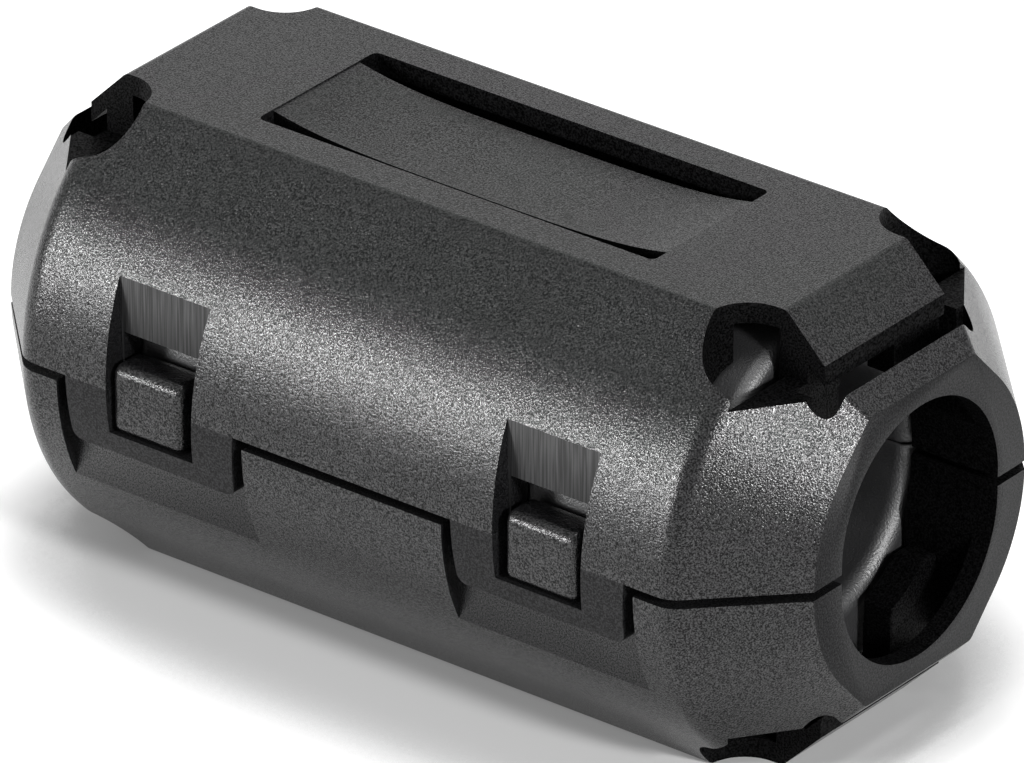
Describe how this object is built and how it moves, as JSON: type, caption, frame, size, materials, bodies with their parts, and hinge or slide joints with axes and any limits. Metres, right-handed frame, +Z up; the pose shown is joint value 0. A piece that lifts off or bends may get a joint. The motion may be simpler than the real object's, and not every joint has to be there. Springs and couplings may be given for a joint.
{
  "type": "clip-on ferrite bead",
  "caption": "Black hinged case that snaps shut round a cable with sprung latches and presses ferrite half cylinders about it to quiet interference.",
  "frame": {"origin": "centre of the cable bore, halfway along the core", "axes": "+X along the cable, -Y towards the latches and +Y towards the hinge, +Z up through the upper half"},
  "size_m": [0.035, 0.0193, 0.0174],
  "materials": {
    "case": "black nylon, spark-textured satin",
    "ferrite": "sintered ferrite, dark grey, semi-matt"
  },
  "bodies": {
    "base": {"lower_case": "case", "lower_core": "ferrite"},
    "straps": {"hinge_strap_far": "case", "hinge_strap_near": "case"},
    "lid": {"upper_case": "case", "upper_core": "ferrite"},
    "latch_far": {"latch_loop_far": "case"},
    "latch_near": {"latch_loop_near": "case"}
  },
  "joints": [
    {"name": "strap_hinge", "type": "hinge", "parent": "base", "child": "straps", "pos_m": [0, 0.0097, -0.00125], "axis": [-1, 0, 0], "range_deg": [0, 90]},
    {"name": "lid_hinge", "type": "hinge", "parent": "straps", "child": "lid", "pos_m": [0, 0.0097, 0.00125], "axis": [-1, 0, 0], "range_deg": [0, 90]},
    {"name": "latch_flex_far", "type": "hinge", "parent": "lid", "child": "latch_far", "pos_m": [-0.00844, -0.0089, 0.00017], "axis": [-1, 0, 0], "range_deg": [0, 20], "stiffness_Nm_per_rad": 0.01, "deforming": ["latch_loop_far"]},
    {"name": "latch_flex_near", "type": "hinge", "parent": "lid", "child": "latch_near", "pos_m": [0.00844, -0.0089, 0.00017], "axis": [-1, 0, 0], "range_deg": [0, 20], "stiffness_Nm_per_rad": 0.01, "deforming": ["latch_loop_near"]}
  ],
  "couplings": [
    {"joint": "lid_hinge", "follows": "strap_hinge", "ratio": 1}
  ]
}
